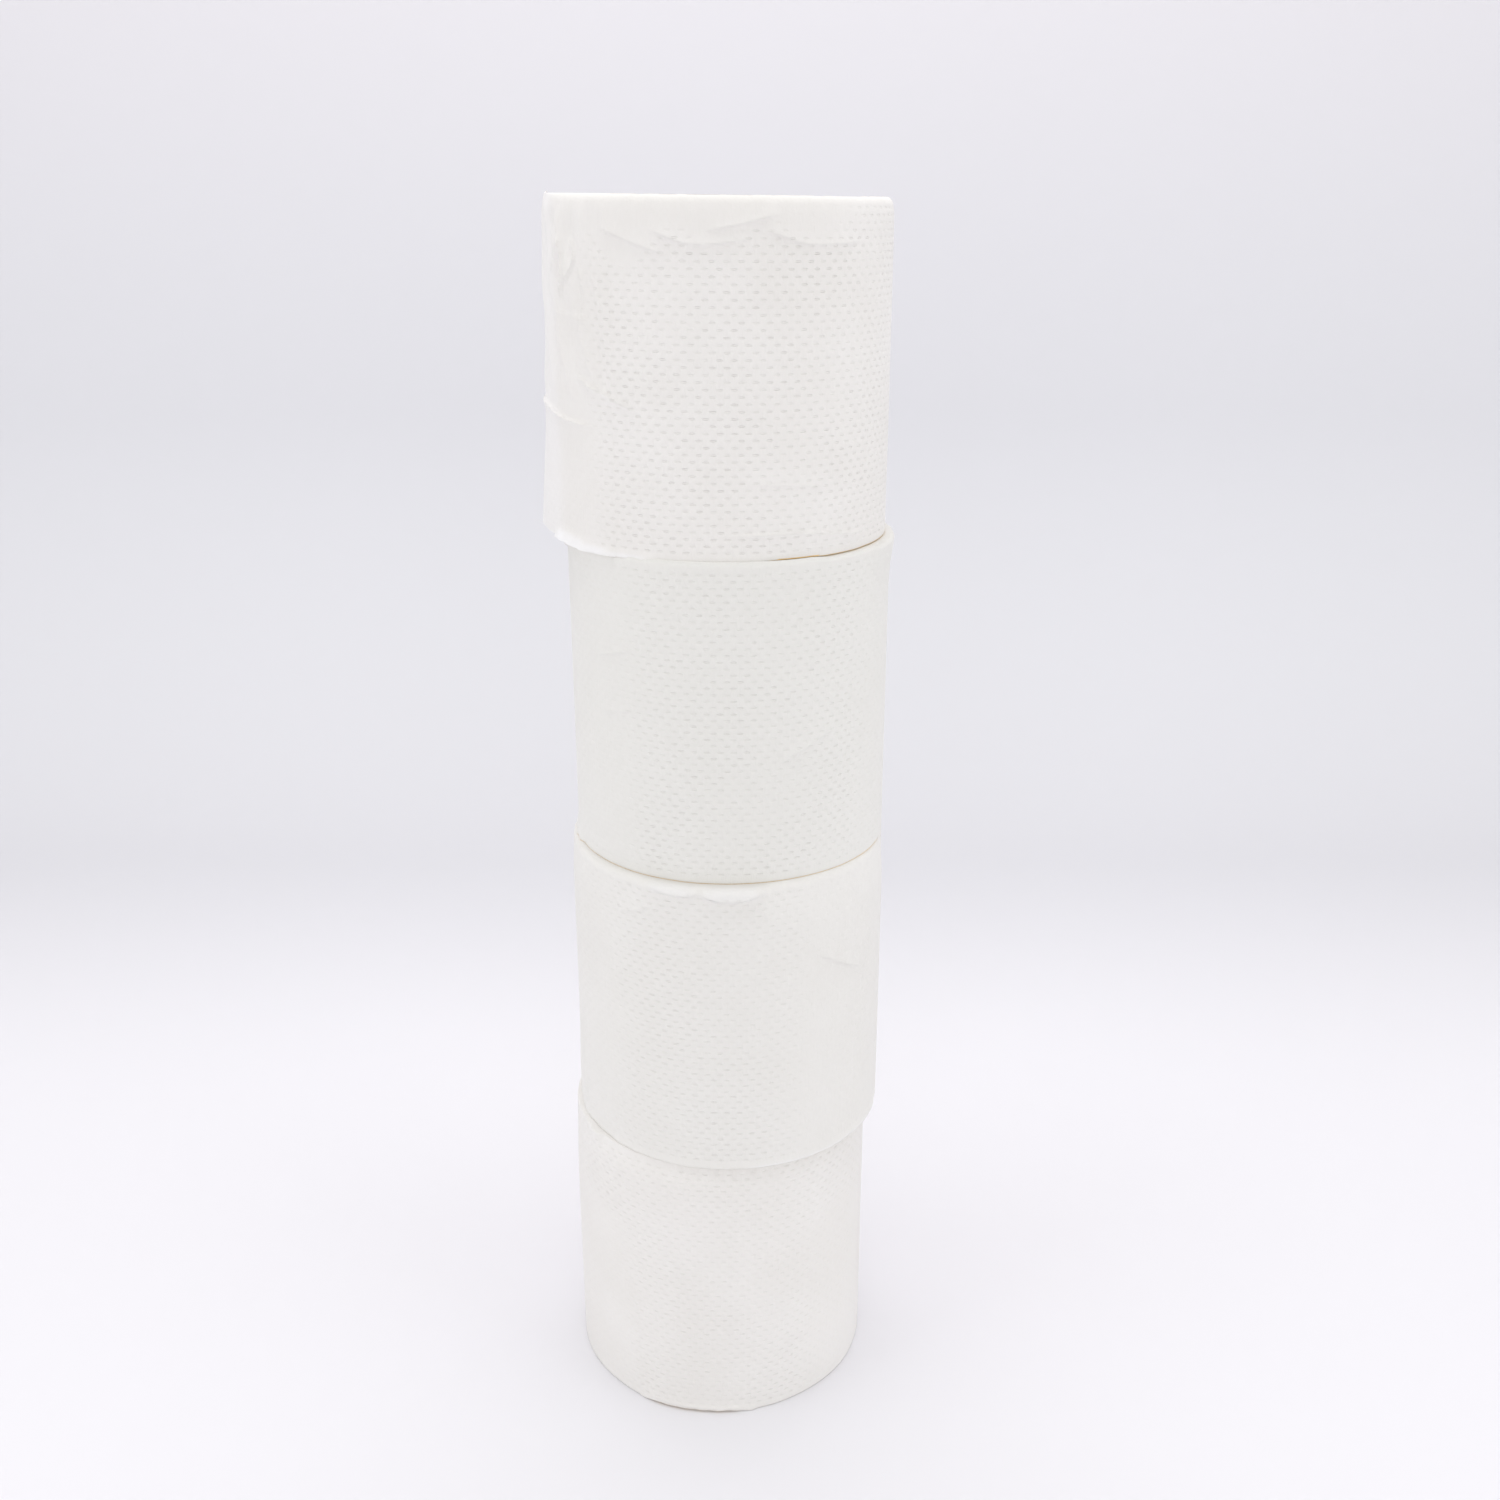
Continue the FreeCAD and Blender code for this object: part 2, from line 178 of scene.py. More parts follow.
# %% [markdown]
# ## Working on the unrolled sheet
#
# Dimples and creases are easier to think of on the flat sheet than on the roll. So each
# vertex gets two sheet coordinates: its angle, in degrees to the right of the front, and its
# height above the roll's base. The helpers here turn those into the smooth steps and waves
# that the paper is made of. They work on whole arrays, because a roll has tens of thousands
# of vertices.

# %% Helpers on the sheet
WAVE_STRETCH = 100.0             # millimetres along the roll over which waves are counted


def smooth_step(low, high, value):
    """Goes from 0 at low to 1 at high with soft ends. It runs backwards where low > high."""
    share = np.clip((value - low) / (high - low), 0.0, 1.0)
    return share * share * (3.0 - 2.0 * share)


def window(value, low, high, soft):
    """1 between low and high, falling to 0 over a soft stretch outside them."""
    return smooth_step(low - soft, low, value) * smooth_step(high + soft, high, value)


def waves(front, height, seed, count, around, along):
    """Soft random relief of unit size: a sum of waves that closes round the roll."""
    rng = np.random.default_rng(seed)
    total = np.zeros_like(front)
    for _ in range(count):
        turns_around = rng.integers(around[0], around[1] + 1)
        turns_along = rng.uniform(-along, along)
        phase = rng.uniform(0.0, 2.0 * math.pi)
        turn = np.radians(front) * turns_around
        turn += height / WAVE_STRETCH * turns_along * 2.0 * math.pi
        total += np.cos(turn + phase)
    return total / math.sqrt(count)


# %% [markdown]
# ## A crease
#
# Creased tissue has a crisp side, where it is bent, and a soft one, where it comes back into
# its curve. So a crease is a line on the sheet, and each vertex near it is moved by how far
# it is from the line and on which side it lies. The relief fades at both ends of the line. A
# sculpting brush could do this too, but a few points on the sheet can be read and changed.

# %% A crease
def smooth_line(points, steps=6):
    """A curve through the points (Catmull-Rom), as more points."""
    known = [np.array(point, dtype=float) for point in points]
    known = [2 * known[0] - known[1]] + known + [2 * known[-1] - known[-2]]
    line = []
    for a, b, c, d in zip(known, known[1:], known[2:], known[3:]):
        for t in np.arange(steps) / steps:
            line.append(0.5 * (2 * b + (c - a) * t + (2 * a - 5 * b + 4 * c - d) * t ** 2
                               + (3 * b - a - 3 * c + d) * t ** 3))
    return line + [known[-2]]


def fold(front, height, radius, points, size, crisp, soft, above=True):
    """A crease along a curve: it rises sharply on one side and sinks away on the other."""
    line = [(math.radians(angle) * radius, level) for angle, level in smooth_line(points)]
    lows, highs = np.min(line, axis=0) - 4 * soft, np.max(line, axis=0) + 4 * soft
    across = np.radians(front) * radius
    near = (across > lows[0]) & (across < highs[0]) & (height > lows[1]) & (height < highs[1])
    across, height = across[near], height[near]
    best = np.full_like(across, 1e9)
    side = np.zeros_like(across)
    along = np.zeros_like(across)
    walked = 0.0
    for (ax, ay), (bx, by) in zip(line, line[1:]):
        length = math.dist((ax, ay), (bx, by))
        share = np.clip(((across - ax) * (bx - ax) + (height - ay) * (by - ay)) / length ** 2, 0.0, 1.0)
        gap = np.hypot(across - ax - share * (bx - ax), height - ay - share * (by - ay))
        cross = (bx - ax) * (height - ay) - (by - ay) * (across - ax)
        nearer = gap < best
        best = np.where(nearer, gap, best)
        side = np.where(nearer, np.sign(cross), side)
        along = np.where(nearer, walked + share * length, along)
        walked += length
    soft_side = side > 0 if above else side < 0
    profile = np.where(soft_side, np.exp(-best / soft), np.exp(-(best / crisp) ** 2))
    ends = window(along / walked, 0.2, 0.8, 0.2)
    relief = np.zeros_like(front)
    relief[near] = size * profile * ends
    return relief


# %% [markdown]
# ## The embossing
#
# The sheet carries staggered rows of short dashes, pressed in by a roller. A bump texture
# could draw them, but then the meshes would be smooth, so they are pressed into the
# vertices. Each dimple lies on the grid of the winding, and a map for each roll says where
# the handling has flattened the pattern. The material sharpens the same dimples further on.

# %% Dimples
DIMPLE_HALF = 0.42               # half a dimple, as a share of its column and of its row


def dimple_places(front, height, full_height):
    """The place on the pattern: columns to the right of the front, and rows up from the base."""
    return front / 360.0 * DIMPLES_AROUND, height / full_height * DIMPLE_ROWS - 0.5


def dimples(front, height, full_height):
    """Depth of the embossing, from 0 between the dimples to about 1 at their middles."""
    column, row = dimple_places(front, height, full_height)
    nearest_row = np.round(row)
    shifted = column - 0.5 * (nearest_row % 2)
    sideways = np.clip(1.0 - ((shifted - np.round(shifted)) / DIMPLE_HALF) ** 2, 0.0, 1.0) ** 2
    upright = np.clip(1.0 - ((row - nearest_row) / DIMPLE_HALF) ** 2, 0.0, 1.0) ** 2
    return sideways * upright


print("%d dimples around, %d rows of them" % (DIMPLES_AROUND, DIMPLE_ROWS))

# %% [markdown]
# ## What each roll has been through
#
# Every roll has its own marks. Creases are lists of points on the sheet, each as degrees to
# the right of the front and millimetres above the roll's base, with the size of the fold,
# its crisp side, its soft side, and whether it sinks away upwards. Flares say where a rim's
# outer sheets stand out from the roll or, with a negative size, lean in, and lifts where a
# rim has come off the end below it. Painted light says where a rim catches the light and
# gets a painted highlight, and rumples say where the sheet has been crumpled a little.
# The lean is how far the top end, which isn't cut quite square, is lower on the right. Grey
# says how much duller than the whitest one the roll's paper is, from 0 to 1. Gap shade says
# from where the line of painted warm shade in the gap below the roll starts, up to where it
# is twice as thick there, where it ends, and how strong it is.

# %% Marks of each roll
LOOKS = {
    "bottom": {
        "depth": 0.135, "seed": 11, "sway": 0.10, "lean": 0.0, "grey": 0.0, "gap_shade": (-24, -24, 4, 0.4),
        "flat": [(-100, -45, 0, 70, 0.5), (45, 100, 0, 70, 0.4)],
        "creases": [
            ([(-35, 3.0), (-20, 1.9), (0, 1.4), (14, 1.9)], 0.40, 0.4, 1.6, True),
        ],
        "flares": [("base", -30, 12, 0.5, 2.0), ("top", -115, -62, -0.8, 18.0),
                   ("top", -50, 62, -1.5, 5.0)],
        "lifts": [("base", -24, 4, 0.6)],
        "pale": [],
        "rumples": [],
    },
    "lower": {
        "depth": 0.14, "seed": 23, "sway": 0.14, "lean": 0.0, "grey": 0.4, "gap_shade": (-180, -180, 180, 0.0),
        "flat": [(35, 80, 0, 100, 0.6), (-90, -50, 0, 100, 0.4)],
        "creases": [
            ([(-41, 87.0), (-31, 90.0), (-26, 93.0)], 0.50, 0.35, 2.5, True),
            ([(33, 74.5), (43, 68.5), (57, 61.5)], 0.60, 0.35, 2.5, True),
            ([(-9, 98.4), (-4, 96.9), (2, 96.2), (8, 97.1), (13, 99.0)], 1.3, 0.3, 2.0, True),
            ([(-27, 98.8), (-18, 97.2), (-9, 98.2)], 1.0, 0.3, 2.0, True),
        ],
        "flares": [("top", -25, -13, 0.6, 1.8), ("top", -4, 8, 0.8, 2.6),
                   ("base", -115, -65, 0.5, 30.0), ("base", -45, 75, 0.45, 1.6),
                   ("top", 17, 90, -1.3, 9.0), ("top", -90, -34, -0.7, 9.0)],
        "lifts": [("base", -180, 180, -0.4), ("base", -62, -30, 0.3)],
        "pale": [("base", 12, 72, 1.2, 0.45), ("top", -23, -15, 3.8, 0.25), ("top", -3, 7, 5.0, 0.3)],
        "rumples": [(42, 60, 15, 88, 0.10)],
    },
    "upper": {
        "depth": 0.15, "seed": 37, "sway": 0.12, "lean": 0.0, "grey": 0.7, "gap_shade": (-180, -180, 180, 1.0),
        "flat": [(-90, -42, 0, 100, 0.6), (60, 100, 0, 100, 0.4)],
        "creases": [
            ([(-52, 68.0), (-42, 70.0), (-33, 73.0)], 0.40, 0.35, 2.0, True),
            ([(-50, 50.2), (-34, 53.4)], 0.35, 0.35, 2.0, True),
            ([(17, 38.0), (29, 43.5), (41, 47.5)], 0.55, 0.35, 2.5, True),
        ],
        "flares": [("top", 62, 120, 1.3, 8.0), ("base", -105, -72, 0.8, 3.5)],
        "lifts": [("base", -180, 180, -0.15), ("top", -60, 30, -0.8)],
        "pale": [],
        "rumples": [],
    },
    "top": {
        "depth": 0.17, "seed": 41, "sway": 0.12, "lean": 0.55, "grey": 0.0, "gap_shade": (18, 34, 100, 1.0),
        "flat": [(-180, -28, 88, 100, 0.95), (-28, -6, 91, 100, 0.95), (-6, 40, 95, 100, 0.8),
                 (-100, -52, 0, 100, 0.75)],
        "creases": [
            ([(-41, 91.4), (-26, 87.0), (-15, 84.0)], 0.70, 0.3, 2.2, True),
            ([(-23, 91.6), (-13, 88.0), (-4, 87.2), (11, 88.9)], 0.85, 0.3, 2.2, True),
            ([(-5, 90.6), (8, 92.8), (19, 95.4)], 0.70, 0.3, 2.0, True),
            ([(11, 92.0), (24, 88.2), (33, 87.2), (51, 88.0)], 0.70, 0.3, 2.2, True),
            ([(-90, 42.5), (-78, 40.2), (-66, 38.2), (-44, 36.6)], 1.2, 0.4, 2.5, False),
            ([(-56, 51.5), (-47, 48.4), (-37, 45.5), (-26, 41.8)], 1.1, 0.4, 2.5, False),
            ([(-72, 68.0), (-57, 67.0), (-44, 66.6)], 0.35, 0.5, 2.0, False),
            ([(-64, 71.0), (-60, 80.0), (-62, 90.0)], 1.2, 0.5, 2.5, True),
            ([(-52, 62.0), (-49, 72.0), (-51, 82.0)], 0.9, 0.5, 2.5, False),
            ([(-72, 91.0), (-67, 85.0), (-71, 78.0)], 0.9, 0.4, 2.0, True),
            ([(-57, 89.0), (-53, 83.0), (-60, 75.0)], 0.9, 0.4, 2.0, False),
            ([(2, 8.3), (27, 7.9), (40, 6.6), (58, 4.9)], 0.80, 0.3, 2.2, False),
            ([(12, 1.5), (34, 3.4), (57, 2.0)], 0.45, 0.3, 1.5, False),
            ([(8, 23.0), (23, 21.8), (38, 20.6)], 0.30, 0.4, 2.0, True),
        ],
        "flares": [("base", -66, -54, 0.9, 2.6), ("base", -68, -40, 0.8, 2.2),
                   ("base", -70, -24, 0.7, 1.6), ("top", -180, 180, -0.8, 3.0)],
        "lifts": [("base", -100, 8, -0.3), ("base", 19, 95, 0.2), ("base", 19, 30, 0.3)],
        "pale": [("base", -64, -55, 3.6, 0.7), ("base", -60, -44, 2.8, 0.65),
                 ("base", -50, -30, 1.8, 0.5)],
        "rumples": [(-80, -42, 48, 92, 0.42)],
    },
}
for name, looks in LOOKS.items():
    print(name, "%d creases, %d flares" % (len(looks["creases"]), len(looks["flares"])))

# %% [markdown]
# ## Places on the sheet
#
# Here the section becomes paper. The vertices of a mesh are read into one array, turned into
# places on the unrolled sheet, moved there and put back round the axis of their roll. The
# numbers that the material needs later are stored on the mesh, one for each vertex. A
# displacement modifier could move them too, but it would need a picture of the relief.

# %% Places on the sheet
def read_points(mesh):
    """The vertices of a mesh as rows of x, y and z."""
    points = np.empty(len(mesh.vertices) * 3)
    mesh.vertices.foreach_get("co", points)
    return points.reshape(-1, 3)


def keep_numbers(mesh, **numbers):
    """Stores one number for each vertex, under a name that a material can read."""
    for name, values in numbers.items():
        attribute = mesh.attributes.new(name, "FLOAT", "POINT")
        spread = np.broadcast_to(values, len(mesh.vertices))
        attribute.data.foreach_set("value", spread.astype(np.float32))


def sheet_places(points):
    """Degrees to the right of the front, distance from the axis, and height."""
    front = np.degrees(np.arctan2(points[:, 1], points[:, 0])) + 90.0
    front = (front + 180.0) % 360.0 - 180.0
    return front, np.hypot(points[:, 0], points[:, 1]), points[:, 2].copy()


def place_on_roll(mesh, roll, front, reach, height):
    """Moves the vertices to these places about the roll's axis."""
    angle = np.radians(front - 90.0)
    axis = roll["axis"]
    right, back = axis.x + reach * np.cos(angle), axis.y + reach * np.sin(angle)
    placed = np.column_stack((right, back, axis.z + height))
    mesh.vertices.foreach_set("co", (placed * MM).ravel())
    mesh.update()


# %% [markdown]
# ## Where the outer sheet ends
#
# The outermost sheet ends somewhere: the radius grows by one sheet over a turn and drops
# back at that angle. The column after the end is pulled up close to it, so that the drop is
# a crisp little wall and not a slope as wide as a column.

# %% The end of the outer sheet
LITTLE_WALL = 0.08               # width of that wall, as a share of a column


def sheet_end_column(name):
    """The column of the grid nearest to the end of the outer sheet, in degrees."""
    return round(SHEET_ENDS[name] / COLUMN) * COLUMN


def crisp_sheet_end(front, name):
    """Pulls the column after the sheet's end up to it, and returns the share of a turn past it."""
    end = sheet_end_column(name)
    past = WOUND[name] * (front - end) % 360.0
    past = np.where(past > 360.0 - 0.01 * COLUMN, 0.0, past)
    at_next = (past > 0.5 * COLUMN) & (past < 1.5 * COLUMN)
    front = np.where(at_next, end + WOUND[name] * LITTLE_WALL * COLUMN, front)
    share = np.where(past < 0.5 * COLUMN, 1.0, past / 360.0)
    return front, share


for name in ROLL_NAMES:
    print(name, "outer sheet ends %.1f degrees right of the front" % sheet_end_column(name))

# %% [markdown]
# ## The marks as numbers
#
# Every kind of mark in the table above becomes a number for each vertex: how far the skin is
# moved outwards, how deep the dimples are there, and how much painted highlight a rim gets.
# All of them are made of windows with soft ends, so that no mark has a hard border.

# %% The marks as numbers
SMALLER_SWAY = 0.35              # the second, closer sway as a share of the first
RUFFLE = 0.14                    # share by which a flare grows and shrinks along the rim
FINE_WRINKLES = 0.16             # the finest wrinkles as a share of the broad ones
PLAIN_RIM = 3.0                  # millimetres at each rim that have no dimples
UNEVEN_EMBOSS = 0.12             # share by which the pattern is stronger or weaker in places
MOST_EMBOSS = 1.6                # the most that its strength can grow to


def from_end(end, height, roll):
    """Millimetres from the base or from the top of the roll."""
    return height if end == "base" else roll["height"] - height


def skin_relief(front, height, roll, looks):
    """Everything but the dimples that moves the skin of a roll outwards, in millimetres."""
    seed = looks["seed"]
    relief = looks["sway"] * waves(front, height, seed, 9, (2, 9), 0.8)
    relief += SMALLER_SWAY * looks["sway"] * waves(front, height, seed + 1, 14, (12, 34), 2.5)
    for points, size, crisp, soft, above in looks["creases"]:
        relief += fold(front, height, roll["radius"], points, size, crisp, soft, above)
    ruffle = 1.0 + RUFFLE * waves(front, 0.0 * height, seed + 2, 8, (25, 60), 0.0)
    for end, left, right, size, reach in looks["flares"]:
        fading = np.exp(-(from_end(end, height, roll) / reach) ** 2)
        relief += size * ruffle * window(front, left, right, 4.0) * fading
    for left, right, low, high, size in looks["rumples"]:
        there = window(front, left, right, 10.0) * window(height, low, high, 8.0)
        wrinkles = waves(front, height, seed + 4, 14, (14, 40), 5.0)
        wrinkles += FINE_WRINKLES * waves(front, height, seed + 6, 16, (45, 90), 14.0)
        relief += size * there * wrinkles
    return relief


def emboss_map(front, height, roll, looks):
    """Depth of the dimples in millimetres: none at the rims, less where they are flattened."""
    seed = looks["seed"]
    strength = window(height, PLAIN_RIM, roll["height"] - PLAIN_RIM, 2.0)
    strength *= 1.0 + UNEVEN_EMBOSS * waves(front, height, seed + 3, 8, (2, 8), 2.0)
    wandering = height + 3.0 * waves(front, height, seed + 5, 6, (3, 12), 1.0)
    for left, right, low, high, share in looks["flat"]:
        there = window(front, left, right, 16.0) * window(wandering, low, high, 6.0)
        strength *= 1.0 - share * there
    return looks["depth"] * np.clip(strength, 0.0, MOST_EMBOSS)


def pale_rims(front, height, roll, looks):
    """How much painted highlight the rims get where they catch the light, from 0 to 1."""
    total = np.zeros_like(front)
    for end, left, right, reach, share in looks["pale"]:
        fading = smooth_step(reach, 0.4 * reach, from_end(end, height, roll))
        total = np.maximum(total, share * window(front, left, right, 7.0) * fading)
    return total


# %% [markdown]
# ## The ends of a roll
#
# A saw cuts the log into rolls, so the ends show the cut edges of all the turns. The turns
# next to the skin are drawn over the edge, so the cut edges begin a little inwards from it.
# From the front the lowest edge of a roll gets a thin line of painted warm shade above the next
# roll, for the gap where little light comes out from between the layers.

# %% The ends of a roll
CLEAN_LEDGE = 5.0                # millimetres of a pressed top end that are as white as the skin
OPEN_LEDGE = 1.2                 # the same on the open top end of the stack
# The golden line is painted warm shade in the gap below a roll.
THIN_LINE = 0.4                  # how high the golden line reaches, in roundings of the base
THICK_LINE = 1.1                 # the same where the line is twice as thick
LIFTED_HEIGHT = 1.5              # millimetres of the wall that are lifted along with a rim
LIFTED_WIDTH = 3.5               # millimetres of the end that are lifted along with it


def cut_edges(front, reach, height, roll, looks):
    """Where the cut edges of the sheets show, and how much painted warm shade of the gap they get there.
    """
    base_rim = rims(roll)[0]
    left, thick_until, right, gap_shade = looks["gap_shade"]
    below = (height < THIN_LINE * base_rim) & (reach < roll["radius"] - 0.1 * base_rim)
    thick = (height < THICK_LINE * base_rim) & (front > left) & (front < thick_until)
    at_base = below | thick
    open_top = roll["name"] == "top"
    ledge = OPEN_LEDGE if open_top else CLEAN_LEDGE
    at_top = (height > roll["height"] - NEAR) & (reach < roll["radius"] - ledge)
    pressed = at_base if open_top else at_base | at_top
    return at_base | at_top, pressed * gap_shade * window(front, left, right, 6.0)


def lift_rims(front, reach, height, roll, looks):
    """The heights, with the rims lifted that have come off the end below them."""
    base_rim, top_rim = rims(roll)
    for end, left, right, size in looks["lifts"]:
        edge = roll["radius"] - (base_rim if end == "base" else top_rim)
        lift = size * window(front, left, right, 8.0)
        lift *= smooth_step(edge - LIFTED_WIDTH, edge, reach)
        lift *= smooth_step(LIFTED_HEIGHT, 0.0, from_end(end, height, roll))
        height = height + (lift if end == "base" else -lift)
    return height


def cut_askew(front, reach, height, roll):
    """The heights, with the top end a little higher on the left and lower on the right."""
    rightwards = np.sin(np.radians(front)) * reach / roll["radius"]
    return height - LOOKS[roll["name"]]["lean"] * (rightwards + 0.5) * height / roll["height"]


# %% [markdown]
# ## From plain winding to used roll
#
# Each vertex is moved outwards or inwards by the sum of its marks, which fade out over the
# outer few millimetres, because only the outer turns have been handled. The material gets
# its numbers at the same time: the place on the pattern of dimples and how strongly it
# shows, the cut edges and the painted warm shade in the gap below, the painted highlights on
# the rims, the turns, and how grey it is.

# %% Shape a winding
HANDLED = 6.0                    # millimetres below the skin to which the marks reach


def shape_winding(mesh, roll, looks):
    """Moves the vertices of a plain winding and stands it on its axis."""
    front, reach, height = sheet_places(read_points(mesh))
    front, share = crisp_sheet_end(front, roll["name"])
    radius = roll["radius"]
    column, row = dimple_places(front, height, roll["height"])
    emboss = np.where(reach > radius - NEAR, emboss_map(front, height, roll, looks), 0.0)
    # The cut edges, and the painted warm shade in the gap below the roll.
    cut_end, golden = cut_edges(front, reach, height, roll, looks)
    keep_numbers(mesh, column=column, row=row, emboss=emboss, cut_end=cut_end, golden=golden,
                 # Painted highlights where the rims catch the light.
                 pale=pale_rims(front, height, roll, looks),
                 turns=(reach - roll["tube"]) / SHEET, grey=looks["grey"])
    skin = smooth_step(radius - HANDLED, radius - 1.0, reach)
    outwards = skin * (SHEET * share + skin_relief(front, height, roll, looks))
    outwards -= emboss * dimples(front, height, roll["height"])
    height = lift_rims(front, reach, height, roll, looks)
    height = cut_askew(front, reach, height, roll)
    place_on_roll(mesh, roll, front, reach + outwards, height)


# %% [markdown]
# ## The turns on an open end
#
# The top of the stack shows the cut edges of every turn. One fine ring of faces stands for
# two sheets, and their heights differ a little, as they do on a log that a saw has cut and
# that hands have squeezed. The ends that are pressed together stay flat.

# %% Turns
TURN_WIDTH = 2.0 * SHEET         # one fine ring of faces stands for two sheets


def raise_turns(mesh, roll, size, seed):
    """Gives the rings of the top end their uneven heights, never above the roll's height."""
    points = read_points(mesh) / MM
    front, reach, height = sheet_places(points - np.array(roll["axis"]))
    among_turns = (reach > roll["tube"] + 0.2) & (reach < roll["radius"] - 2.4)
    on_end = among_turns & (height > roll["height"] - 2.0)
    spiral = reach - roll["tube"] + front / 360.0 * TURN_WIDTH
    ring = np.round(spiral / TURN_WIDTH).astype(int)
    uneven = np.random.default_rng(seed).uniform(0.0, 1.0, 200)[ring % 200]
    drift = 0.5 + 0.25 * waves(front, reach, seed + 1, 7, (1, 5), 3.0)
    sink = size * (0.55 * uneven + 0.45 * np.clip(drift, 0.0, 1.0))
    points[:, 2] -= np.where(on_end, sink, 0.0)
    mesh.vertices.foreach_set("co", (points * MM).ravel())
    mesh.update()


# %% [markdown]
# ## Making the four windings
#
# Each winding takes the place of its measured solid and rides on the stack's one body.
# Smooth shading is right for tissue, and the rims have enough rows of their own to stay soft
# without looking inflated.

# %% Build the windings
PRESSED_RINGS = 9                # rings of faces on an end that lies on something
OPEN_RINGS = 35                  # rings of faces on the open top end
UNEVEN_TURNS = 0.5               # millimetres, how far its lowest turns may sink
TURNS_SEED = 71


def add_piece(name, mesh, node):
    """Makes an object of a finished mesh and ties it to the stack."""
    mesh.shade_smooth()
    piece = bpy.data.objects.new(name, mesh)
    bpy.context.collection.objects.link(piece)
    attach(piece, "root")
    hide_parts(node)
    print(name, "%d faces" % len(mesh.polygons))
    return piece


paper_pieces = []
for name, roll in rolls.items():
    open_top = name == "top"
    winding = spin_winding(roll, PRESSED_RINGS, OPEN_RINGS if open_top else PRESSED_RINGS)
    shape_winding(winding, roll, LOOKS[name])
    if open_top:
        raise_turns(winding, roll, UNEVEN_TURNS, TURNS_SEED)
    paper_pieces.append(add_piece(name + "_paper", winding, name + "_roll_paper"))

# %% [markdown]
# ## The loose sheet of the top roll
#
# On the left of the top roll the last stretch of sheet has come off. It goes on from the
# outer turn in the same columns and rows, with the same marks, so no joint shows, and it
# leans away from the roll, most of all at the base. It is a grid, bent round the roll, whose
# faces are extruded inwards by the thickness of the tissue. A cloth simulation would only
# have to be steered to this same shape.

# %% Build the loose sheet
LOOSE_THICKNESS = 0.3            # millimetres, as are the sizes below
LOOSE_EDGE = -91.5               # degrees to the right of the front
LOOSE_COVER = 0.02               # how far its root lies over the outer turn
GAP_AT_TOP = 1.9                 # how far the free edge stands off the roll at its top
GAP_ADDED = 4.4                  # how much further it stands off at its base
EDGE_RIPPLE = 0.3                # how far the free end ripples in and out
WORN_CORNER = 1.6                # how much of its lower corner is worn away
CURLED_TIP = 0.5                 # how far its upper corner stands up
SIDE_SIGHT = 1.5                 # how far within its side the winding seems to end, seen from the front
# Painted backlight on the loose sheet past the side of the winding.
BACKLIGHT_WHITE = 0.3                 # how much whiter the sheet is past there, from 0 to 1


def free_gap(height, roll):
    """How far the free edge stands off the roll at each height, in millimetres."""
    share = np.clip(1.0 - height / roll["height"], 0.0, 1.0)
    return GAP_AT_TOP + GAP_ADDED * share ** 1.8


def rounded_top(upward, roll):
    """Height and inward shift of each row, which follow the rounding of the roll's top rim."""
    rim, rows = rims(roll)[1], rim_rows(roll["name"])[1]
    turn = np.clip(upward * WALL_ROWS - (WALL_ROWS - rows), 0.0, None) / rows * math.pi / 2
    straight = np.minimum(upward * roll["height"], roll["height"] - rim)
    return straight + rim * np.sin(turn), rim * (1.0 - np.cos(turn))


